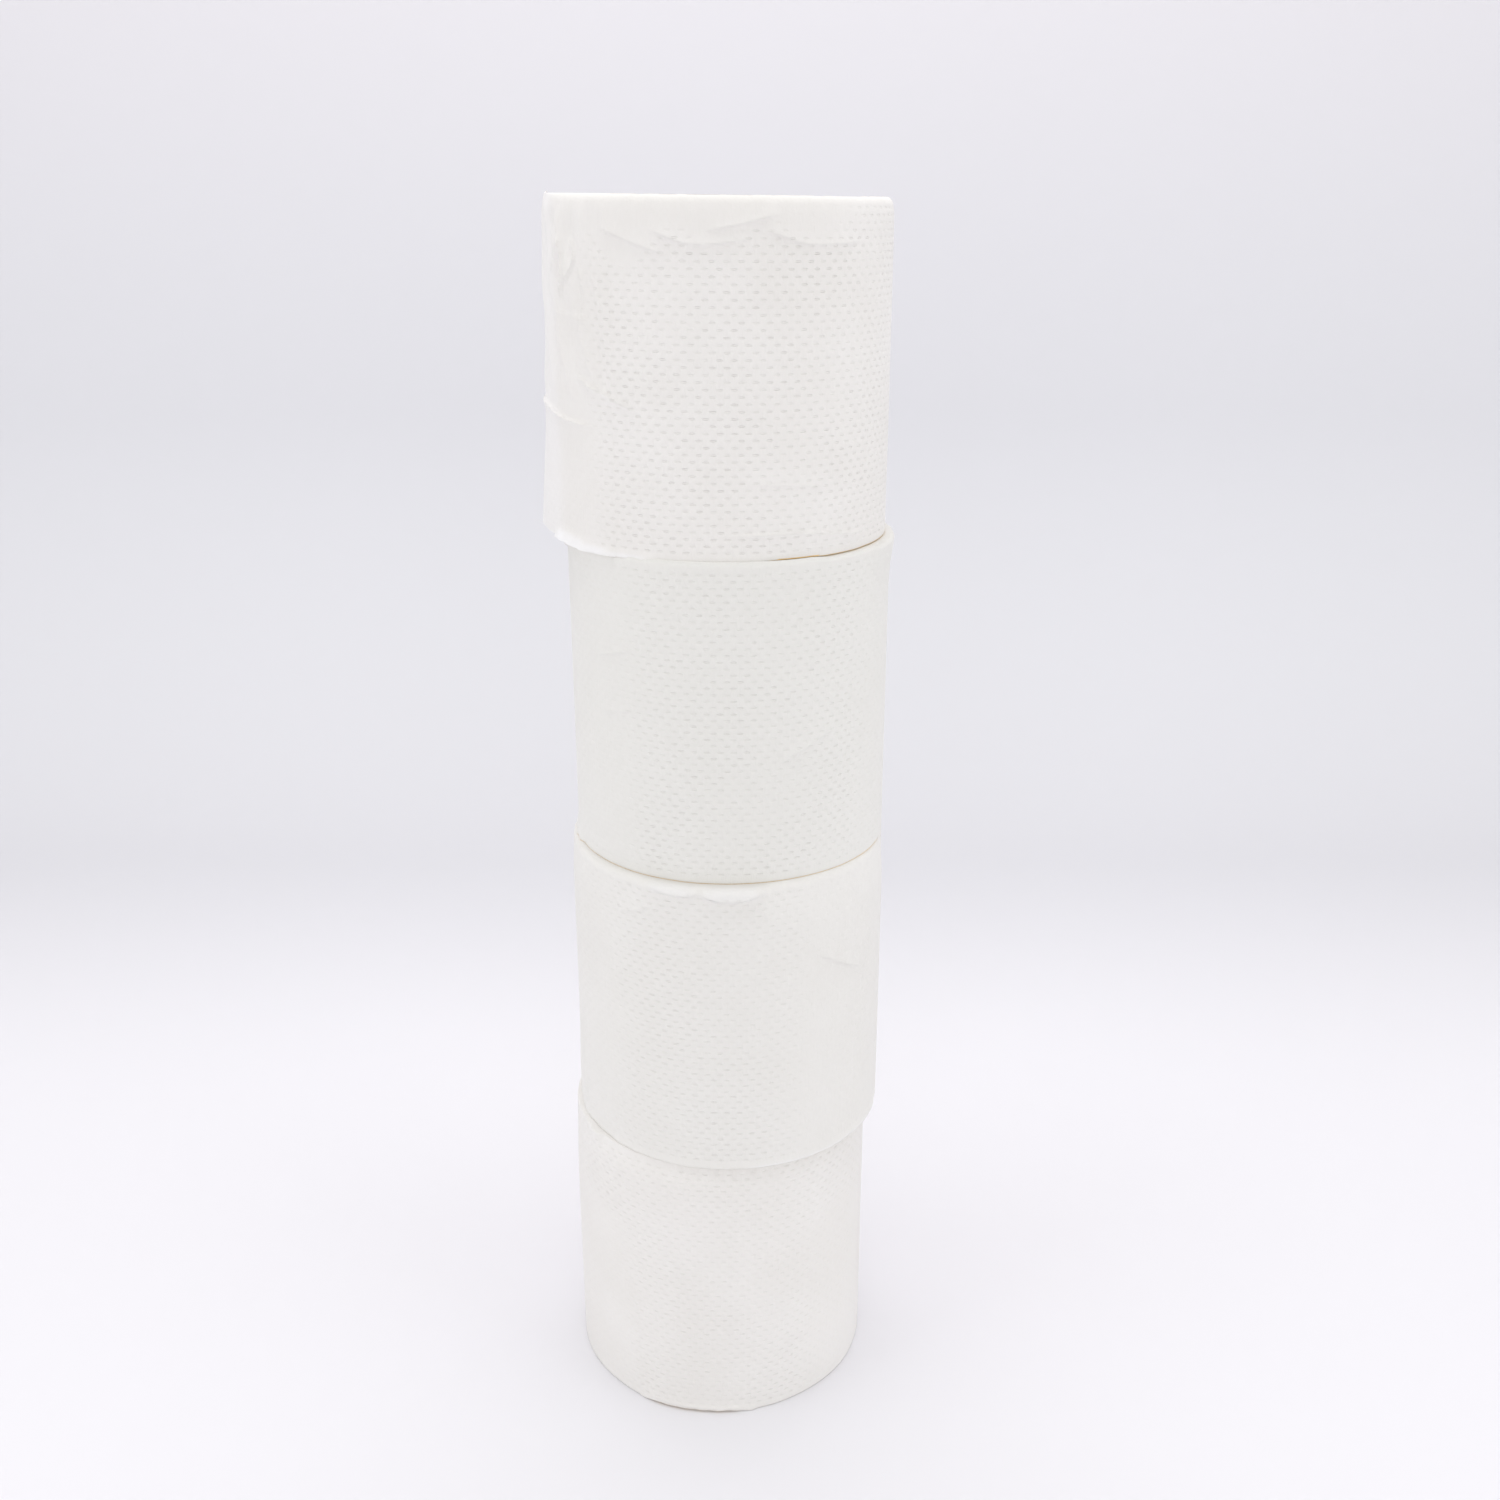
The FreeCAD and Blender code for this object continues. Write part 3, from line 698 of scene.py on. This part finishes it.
def loose_sheet(roll, looks):
    """The stretch of sheet from the outer turn to the free edge, with its thickness."""
    root = sheet_end_column("top") + COLUMN
    columns = round((root - LOOSE_EDGE) / COLUMN)
    bm = bmesh.new()
    bmesh.ops.create_grid(bm, x_segments=columns, y_segments=WALL_ROWS, size=0.5)
    mesh = bpy.data.meshes.new("loose_sheet")
    bm.to_mesh(mesh)
    points = read_points(mesh)
    walked = points[:, 0] + 0.5
    front = root - walked * columns * COLUMN
    along = np.clip((walked * columns - 1.0) / (columns - 1.0), 0.0, 1.0)
    height, inwards = rounded_top(points[:, 1] + 0.5, roll)
    column, row = dimple_places(front, height, roll["height"])
    emboss = emboss_map(front, height, roll, looks)
    reach = roll["radius"] + SHEET + LOOSE_COVER + skin_relief(front, height, roll, looks)
    reach -= emboss * dimples(front, height, roll["height"])
    reach -= inwards * (1.0 - 0.9 * smooth_step(0.2, 0.95, along))
    reach += free_gap(height, roll) * along ** 1.9
    reach += EDGE_RIPPLE * along * waves(front, height, 83, 8, (6, 22), 1.5)
    reach += EDGE_RIPPLE * smooth_step(0.8, 1.0, along) * waves(front, height, 85, 5, (0, 1), 3.0)
    worn_corner = WORN_CORNER * smooth_step(-48.0, -66.0, front) * smooth_step(20.0, 0.0, height)
    curled_tip = CURLED_TIP * smooth_step(0.93, 1.0, along) * smooth_step(94.0, 100.0, height)
    past_side = reach * np.sin(np.radians(-front)) - roll["radius"] + SIDE_SIGHT
    # Painted backlight: the sheet past the side of the winding is whiter, as if lit through from behind;
    # the rims get their painted highlights.
    pale = BACKLIGHT_WHITE * smooth_step(-2.5, 1.5, past_side) + pale_rims(front, height, roll, looks)
    keep_numbers(mesh, column=column, row=row, emboss=emboss, cut_end=0.0, golden=0.0, turns=0.0,
                 pale=pale)
    height = cut_askew(front, reach, height + worn_corner + curled_tip, roll)
    place_on_roll(mesh, roll, front, reach, height)
    bm.clear()
    bm.from_mesh(mesh)
    inner = bmesh.ops.extrude_face_region(bm, geom=bm.faces[:], use_keep_orig=True)["geom"]
    axis = roll["axis"] * MM
    for vert in [item for item in inner if isinstance(item, bmesh.types.BMVert)]:
        outwards = Vector((vert.co.x - axis.x, vert.co.y - axis.y, 0.0)).normalized()
        vert.co -= outwards * LOOSE_THICKNESS * MM
    bmesh.ops.recalc_face_normals(bm, faces=bm.faces[:])
    for edge in bm.edges:
        edge.smooth = edge.calc_face_angle(0.0) < math.radians(50.0)
    bm.to_mesh(mesh)
    bm.free()
    return mesh


stretch = loose_sheet(rolls["top"], LOOKS["top"])
paper_pieces.append(add_piece("top_loose_sheet", stretch, "top_roll_paper"))

# %% [markdown]
# ## The cardboard tubes
#
# A tube is wound from strips of card at a slant, so its seams run round it as screw lines.
# It is a ring spun like the paper, with its wall moved in and out along those seams, and
# its cut end slightly rough. Only the top one can be looked into, but all four are alike. A
# plain tube would do for the lower three, yet the same function makes them all.

# %% Build the tubes
TUBE_COLUMNS = 120
TUBE_ROWS = 60
CARD_WALL = 1.0                  # millimetres
SEAM_LEAD = 62.0                 # millimetres that a seam climbs in one turn
SEAM_STEP = 0.18                 # millimetres that the card stands above its seam
DENTS = 0.12                     # millimetres that a tube is out of round, and its cut rough
TUBE_DROP = 0.2                  # millimetres that the top of a tube lies below its paper


def spin_tube(roll, seed):
    """A tube with its seams, dents and rough cut."""
    outer, height = roll["tube"], roll["height"]
    inner = outer - CARD_WALL
    bm = bmesh.new()
    corners = [(inner, 0), (outer, 0), (outer, height), (inner, height)]
    verts = [bm.verts.new((x, 0, z)) for x, z in corners]
    for here, after in zip(verts, verts[1:] + verts[:1]):
        bm.edges.new((here, after))
    spin_section(bm, TUBE_COLUMNS)
    add_rows(bm, corners[0], corners[3], TUBE_ROWS)
    add_rows(bm, corners[1], corners[2], 4)
    add_rows(bm, corners[0], corners[1], 2)
    add_rows(bm, corners[3], corners[2], 2)
    mesh = mesh_from(bm, roll["name"] + "_tube")
    points = read_points(mesh)
    front, reach, level = sheet_places(points)
    inside = reach < inner + 0.1
    climb = (level / SEAM_LEAD + front / 360.0 + seed * 0.37) % 1.0
    seam = smooth_step(0.0, 0.04, climb) * smooth_step(1.0, 0.9, climb)
    reach = reach - np.where(inside, SEAM_STEP * seam, 0.0)
    reach = reach + np.where(inside, DENTS * waves(front, level, seed, 6, (2, 5), 1.0), 0.0)
    at_top = level > height - NEAR
    rough_cut = DENTS * (1.0 + waves(front, level, seed + 5, 8, (3, 16), 0.0)) ** 2 / 4.0
    level = level - np.where(at_top, rough_cut, 0.0)
    keep_numbers(mesh, seam=1.0 - seam)
    level = cut_askew(front, reach, level, roll) - TUBE_DROP * at_top
    place_on_roll(mesh, roll, front, reach, level)
    return mesh


tube_pieces = []
for number, (name, roll) in enumerate(rolls.items()):
    tube = spin_tube(roll, 91 + number)
    tube_pieces.append(add_piece(name + "_tube", tube, name + "_roll_core"))

# %% [markdown]
# ## Writing materials as sums
#
# A material is a sum of textures, so it reads best as one. The class below wraps a socket,
# and Python's operators on it add the Math nodes. Any other node comes from one method,
# which takes the node's settings first and then the values or links of its sockets.

# %% A socket with operators
class Number:
    """A number that varies over a surface."""

    def __init__(self, finish, socket):
        self.finish = finish
        self.socket = socket

    def math(self, operation, first, second):
        return self.finish.node("ShaderNodeMath", {"operation": operation}, {0: first, 1: second})

    def of(self, operation):
        """A function of this number alone, such as ROUND or FRACT."""
        return self.finish.node("ShaderNodeMath", {"operation": operation}, {0: self})

    def __add__(self, other):
        return self.math("ADD", self, other)

    def __sub__(self, other):
        return self.math("SUBTRACT", self, other)

    def __mul__(self, other):
        return self.math("MULTIPLY", self, other)

    def __rsub__(self, other):
        return self.math("SUBTRACT", other, self)

    __radd__ = __add__
    __rmul__ = __mul__


class Finish:
    """A material under construction, with one Principled shader."""

    def __init__(self, name, constants):
        self.material = bpy.data.materials.new(name)
        self.material.use_nodes = True
        self.tree = self.material.node_tree
        self.shader = self.tree.nodes["Principled BSDF"]
        for socket, value in constants.items():
            self.shader.inputs[socket].default_value = value

    def node(self, kind, settings=None, inputs=None, output=0):
        made = self.tree.nodes.new(kind)
        for setting, value in (settings or {}).items():
            setattr(made, setting, value)
        for socket, value in (inputs or {}).items():
            if isinstance(value, Number):
                self.tree.links.new(value.socket, made.inputs[socket])
            else:
                made.inputs[socket].default_value = value
        return Number(self, made.outputs[output])

    def attribute(self, name):
        return self.node("ShaderNodeAttribute", {"attribute_name": name}, output="Fac")

    def noise(self, scale, stretch=(1, 1, 1), detail=2.0, roughness=0.5):
        """Noise on the object's own coordinates, in metres."""
        place = self.node("ShaderNodeTexCoord", output="Object")
        stretched = self.node("ShaderNodeMapping", inputs={"Vector": place, "Scale": stretch})
        return self.node("ShaderNodeTexNoise", inputs={
            "Vector": stretched, "Scale": scale, "Detail": detail, "Roughness": roughness})

    def span(self, value, low, high, new_low=0.0, new_high=1.0):
        """Maps low..high smoothly onto a new range."""
        return self.node("ShaderNodeMapRange", {"interpolation_type": "SMOOTHSTEP"}, {
            "Value": value, "From Min": low, "From Max": high, "To Min": new_low, "To Max": new_high})

    def mix(self, share, first, second):
        """Blends two colours."""
        inputs = {0: share, 6: first, 7: second}
        return self.node("ShaderNodeMix", {"data_type": "RGBA"}, inputs, output=2)

    def feed(self, socket, value):
        self.tree.links.new(value.socket, self.shader.inputs[socket])

    def bump(self, value, distance, strength=1.0, normal=None):
        inputs = {"Height": value, "Distance": distance, "Strength": strength}
        if normal:
            inputs["Normal"] = normal
        return self.node("ShaderNodeBump", inputs=inputs)

    def done(self):
        """The finished material."""
        print(self.material.name, "%d nodes" % len(self.tree.nodes))
        return self.material


# %% [markdown]
# ## Tissue
#
# Bleached tissue is a warm white, not a pure one, and quite rough. Three things vary: the
# pressed dimples get painted shade, broad patches differ by a shade, and the cut edges of
# the turns are creamier, partly from their own rings and partly as painted shade between the
# layers, where light is lost, most of all on the undersides, where painted warm shade marks
# the thin gap between two rolls. The dimples are drawn again here from their places on the
# pattern, finer than the mesh can hold them, and each a little stronger or weaker than the
# next. The crepe, which is the fine grain of tissue, runs up the roll, so its noise is
# stretched that way. Rims that catch the light get a painted highlight, and the loose sheet
# past the side of the winding gets painted light, as if lit through from behind, where
# nothing behind it keeps the light out.

# %% Tissue material
DASH_HALF_WIDTH = 0.23           # half a dash, as a share of a column of the pattern
DASH_HALF_HEIGHT = 0.15          # the same upwards, as a share of a row
FULL_EMBOSS = 0.24               # millimetres of embossing at which a dash is at its darkest


def dashes(finish):
    """Each dimple as a short dash with crisp ends, from 0 beside it to 1 in it."""
    column = finish.attribute("column")
    row = finish.attribute("row")
    nearest_row = row.of("ROUND")
    shifted = column - nearest_row.math("FLOORED_MODULO", nearest_row, 2.0) * 0.5
    nearest_column = shifted.of("ROUND")
    sideways = (shifted - nearest_column) * (1.0 / DASH_HALF_WIDTH)
    upright = (row - nearest_row) * (1.0 / DASH_HALF_HEIGHT)
    inside = finish.span(sideways * sideways + upright * upright, 1.5, 0.1)
    cell = finish.node("ShaderNodeCombineXYZ", inputs={0: nearest_column, 1: nearest_row})
    uneven = finish.node("ShaderNodeTexWhiteNoise", {"noise_dimensions": "2D"}, {"Vector": cell})
    return inside * (uneven * 0.5 + 0.6)


def tissue():
    """White and grey paper with painted shade in its dimples and gaps and painted highlights, all in one
    material.
    """
    finish = Finish("tissue", {
        "Roughness": 0.95,
        "Specular IOR Level": 0.2,
        "Sheen Weight": 0.12,
        "Sheen Roughness": 0.6,
    })
    cut = finish.attribute("cut_end")
    turns = finish.attribute("turns")
    emboss = finish.attribute("emboss")
    dash = dashes(finish) * finish.span(emboss, 0.0, FULL_EMBOSS)
    patches = finish.span(finish.noise(28.0, detail=2.0), 0.3, 0.7)
    fibres = finish.noise(900.0, (1.0, 1.0, 0.35), detail=4.0, roughness=0.65)
    white = finish.mix(patches, (0.790, 0.773, 0.742, 1), (0.815, 0.800, 0.774, 1))
    white = finish.mix(finish.attribute("grey"), white, (0.755, 0.752, 0.716, 1))
    # Painted shade in the dimples: each dash is darkened, besides its bump below.
    white = finish.mix(dash * 0.29, white, (0.69, 0.66, 0.615, 1))
    white = finish.mix(finish.span(fibres, 0.35, 0.75, 0.0, 0.12), white, (0.87, 0.862, 0.84, 1))
    # Painted highlight on rims that catch the light, and painted backlight on the loose sheet past the
    # side of the winding.
    white = finish.mix(finish.attribute("pale") * 0.7, white, (0.89, 0.895, 0.925, 1))
    # Cut edges: rings of the turns, darker overall as painted shade between the layers.
    layers = finish.span(turns.of("FRACT"), 0.2, 0.8)
    cream = finish.mix(layers, (0.60, 0.57, 0.515, 1), (0.71, 0.69, 0.65, 1))
    # Painted warm shade in the gap below a roll, on its lowest cut edges.
    cream = finish.mix(finish.attribute("golden"), cream, (0.90, 0.62, 0.25, 1))
    finish.feed("Base Color", finish.mix(cut, white, cream))
    finish.feed("Roughness", finish.span(fibres, 0.3, 0.8, 0.88, 1.0))
    crepe = finish.noise(1500.0, (1.0, 1.0, 0.22), detail=3.0, roughness=0.6)
    grain = finish.bump(crepe, 0.00016, 0.85)
    grain = finish.bump(fibres, 0.0002, 0.5, grain)
    finish.feed("Normal", finish.bump(1.0 - dash, 0.0002, 1.0, grain))
    return finish.done()


tissue_material = tissue()
for piece in paper_pieces:
    piece.data.materials.append(tissue_material)

# %% [markdown]
# ## Core board
#
# The tube is grey-brown card made from old paper: flecked, a little streaky along the
# strips, with a darker line where two strips meet.

# %% Core board material
def core_board():
    """Flecked card with streaks along its strips."""
    finish = Finish("core_board", {"Roughness": 0.9, "Specular IOR Level": 0.25})
    seam = finish.attribute("seam")
    flecks = finish.noise(700.0, detail=3.0, roughness=0.7)
    streaks = finish.noise(90.0, (1.0, 1.0, 3.0), detail=3.0)
    card = finish.mix(finish.span(streaks, 0.3, 0.7), (0.36, 0.27, 0.19, 1), (0.46, 0.36, 0.26, 1))
    card = finish.mix(finish.span(flecks, 0.58, 0.75, 0.0, 0.5), card, (0.24, 0.18, 0.13, 1))
    dark_seam = finish.span(seam, 0.5, 1.0, 0.0, 0.7)
    finish.feed("Base Color", finish.mix(dark_seam, card, (0.22, 0.16, 0.11, 1)))
    finish.feed("Roughness", finish.span(flecks, 0.2, 0.8, 0.8, 0.98))
    finish.feed("Normal", finish.bump(flecks, 0.0003, 0.4))
    return finish.done()


board_material = core_board()
for piece in tube_pieces:
    piece.data.materials.append(board_material)

# %% [markdown]
# ## The studio
#
# The photograph was taken in a pale sweep: one sheet of card that lies flat under the
# stack and curves up behind it. A line that is extruded, spun and extruded again does that.
# Its colour is painted light and shade: lighter on the floor, darker on the wall behind,
# and lighter and pinker high up on it.

# %% Floor and backdrop
SWEEP_FRONT = 2.0                # how far the floor reaches towards the camera
SWEEP_DEPTH = 0.42               # where the floor starts to rise, behind the stack
SWEEP_HALF_WIDTH = 2.0
BEND_RADIUS = 0.25
WALL_RISE = 2.2                  # height of the wall above the bend


def sweep_mesh():
    """A line along the floor, spun up a quarter turn and extruded into the wall."""
    bm = bmesh.new()
    sides = (-SWEEP_HALF_WIDTH, SWEEP_HALF_WIDTH)
    edge = bm.edges.new([bm.verts.new((x, -SWEEP_FRONT, 0.0)) for x in sides])
    flat = bmesh.ops.extrude_edge_only(bm, edges=[edge])["geom"]
    flat_verts = [item for item in flat if isinstance(item, bmesh.types.BMVert)]
    bmesh.ops.translate(bm, verts=flat_verts, vec=(0.0, SWEEP_FRONT + SWEEP_DEPTH, 0.0))
    back_line = [item for item in flat if not isinstance(item, bmesh.types.BMFace)]
    bend = bmesh.ops.spin(bm, geom=back_line, cent=(0.0, SWEEP_DEPTH, BEND_RADIUS),
                          axis=(1.0, 0.0, 0.0), angle=math.pi / 2, steps=24)
    last_edges = [item for item in bend["geom_last"] if isinstance(item, bmesh.types.BMEdge)]
    wall = bmesh.ops.extrude_edge_only(bm, edges=last_edges)["geom"]
    wall_verts = [item for item in wall if isinstance(item, bmesh.types.BMVert)]
    bmesh.ops.translate(bm, verts=wall_verts, vec=(0.0, 0.0, WALL_RISE))
    bmesh.ops.remove_doubles(bm, verts=bm.verts[:], dist=1e-6)
    bmesh.ops.recalc_face_normals(bm, faces=bm.faces[:])
    mesh = bpy.data.meshes.new("sweep")
    bm.to_mesh(mesh)
    bm.free()
    mesh.shade_smooth()
    return mesh


def sweep_material():
    """Pale card with painted light and shade: lightest on the floor, darker on the wall, lighter high up.
    """
    finish = Finish("pale_sweep", {"Roughness": 1.0, "Specular IOR Level": 0.0})
    place = finish.node("ShaderNodeTexCoord", output="Object")
    depth = finish.node("ShaderNodeSeparateXYZ", inputs={0: place}, output="Y")
    rise = finish.node("ShaderNodeSeparateXYZ", inputs={0: place}, output="Z")
    # Painted light and shade on the one sheet of card, by its place in the room.
    behind = finish.span(depth, 0.12, 0.46)
    high = finish.span(rise, 0.2, 1.2)
    wall = finish.mix(high, (0.70, 0.70, 0.725, 1), (0.80, 0.75, 0.785, 1))
    finish.feed("Base Color", finish.mix(behind, (0.818, 0.813, 0.838, 1), wall))
    return finish.done()


sweep = bpy.data.objects.new("sweep", sweep_mesh())
bpy.context.collection.objects.link(sweep)
sweep.data.materials.append(sweep_material())
print("sweep", "%d faces" % len(sweep.data.polygons))

# %% [markdown]
# ## Light
#
# The photograph has almost no shadows, so its light comes from all round, as in a tent.
# An even world does most of the work. A wide panel above and behind makes the rims bright,
# gives the dimples their dark upper edges and lets a faint shadow fall towards the camera.
# Two cooler panels at the sides lift the flanks, and one in front keeps the middle as light
# as they are.

# %% World and lamps
WORLD_STRENGTH = 0.65
STACK_MIDDLE = Vector((0.0, 0.0, 0.2))
COOL_LIGHT = (0.95, 0.972, 1.0)


def light_panel(name, place, width, power, colour=(1.0, 1.0, 1.0)):
    """A square lamp that faces the middle of the stack, with its width in metres."""
    data = bpy.data.lights.new(name, "AREA")
    data.color = colour
    data.shape = "SQUARE"
    data.size = width
    data.energy = power
    lamp = bpy.data.objects.new(name, data)
    bpy.context.collection.objects.link(lamp)
    lamp.location = place
    lamp.rotation_euler = (STACK_MIDDLE - Vector(place)).to_track_quat("-Z", "Y").to_euler()
    print(name, "%.1f m wide, %.1f watts" % (width, power))


world = bpy.data.worlds.new("tent")
bpy.context.scene.world = world
world.use_nodes = True
background = world.node_tree.nodes["Background"]
background.inputs["Color"].default_value = (1.0, 0.985, 0.99, 1)
background.inputs["Strength"].default_value = WORLD_STRENGTH

light_panel("overhead", (0.0, 0.1, 1.3), 0.9, 6.8)
light_panel("left_side", (-1.2, -0.4, 0.33), 1.0, 4.3, COOL_LIGHT)
light_panel("right_side", (1.2, -0.4, 0.33), 1.0, 4.3, COOL_LIGHT)
light_panel("front", (0.0, -1.6, 0.7), 1.2, 4.2)

# %% [markdown]
# ## Camera
#
# The rim of the top roll is seen exactly edge-on, so the camera stands at that height,
# about half a metre in front, and looks down at the middle of the stack. The focal length
# follows from how fast the rolls get narrower towards the floor.

# %% Camera
EYE = (0.0108, -0.4752, 0.3988)
LOOK_DOWN = 19.85                # degrees
FOCAL_PIXELS = 1529.0            # focal length in pixels of the photograph
PHOTO_WIDTH = 1500.0             # pixels
SENSOR_WIDTH = 36.0              # millimetres, as is usual for a full-frame camera

camera_data = bpy.data.cameras.new("camera")
camera_data.sensor_width = SENSOR_WIDTH
camera_data.lens = SENSOR_WIDTH * FOCAL_PIXELS / PHOTO_WIDTH
camera = bpy.data.objects.new("camera", camera_data)
bpy.context.collection.objects.link(camera)
camera.location = EYE
camera.rotation_euler = (math.radians(90.0 - LOOK_DOWN), 0.0, 0.0)
bpy.context.scene.camera = camera
bpy.context.scene.view_settings.view_transform = "Standard"
print("camera with a lens of %.1f mm" % camera_data.lens)
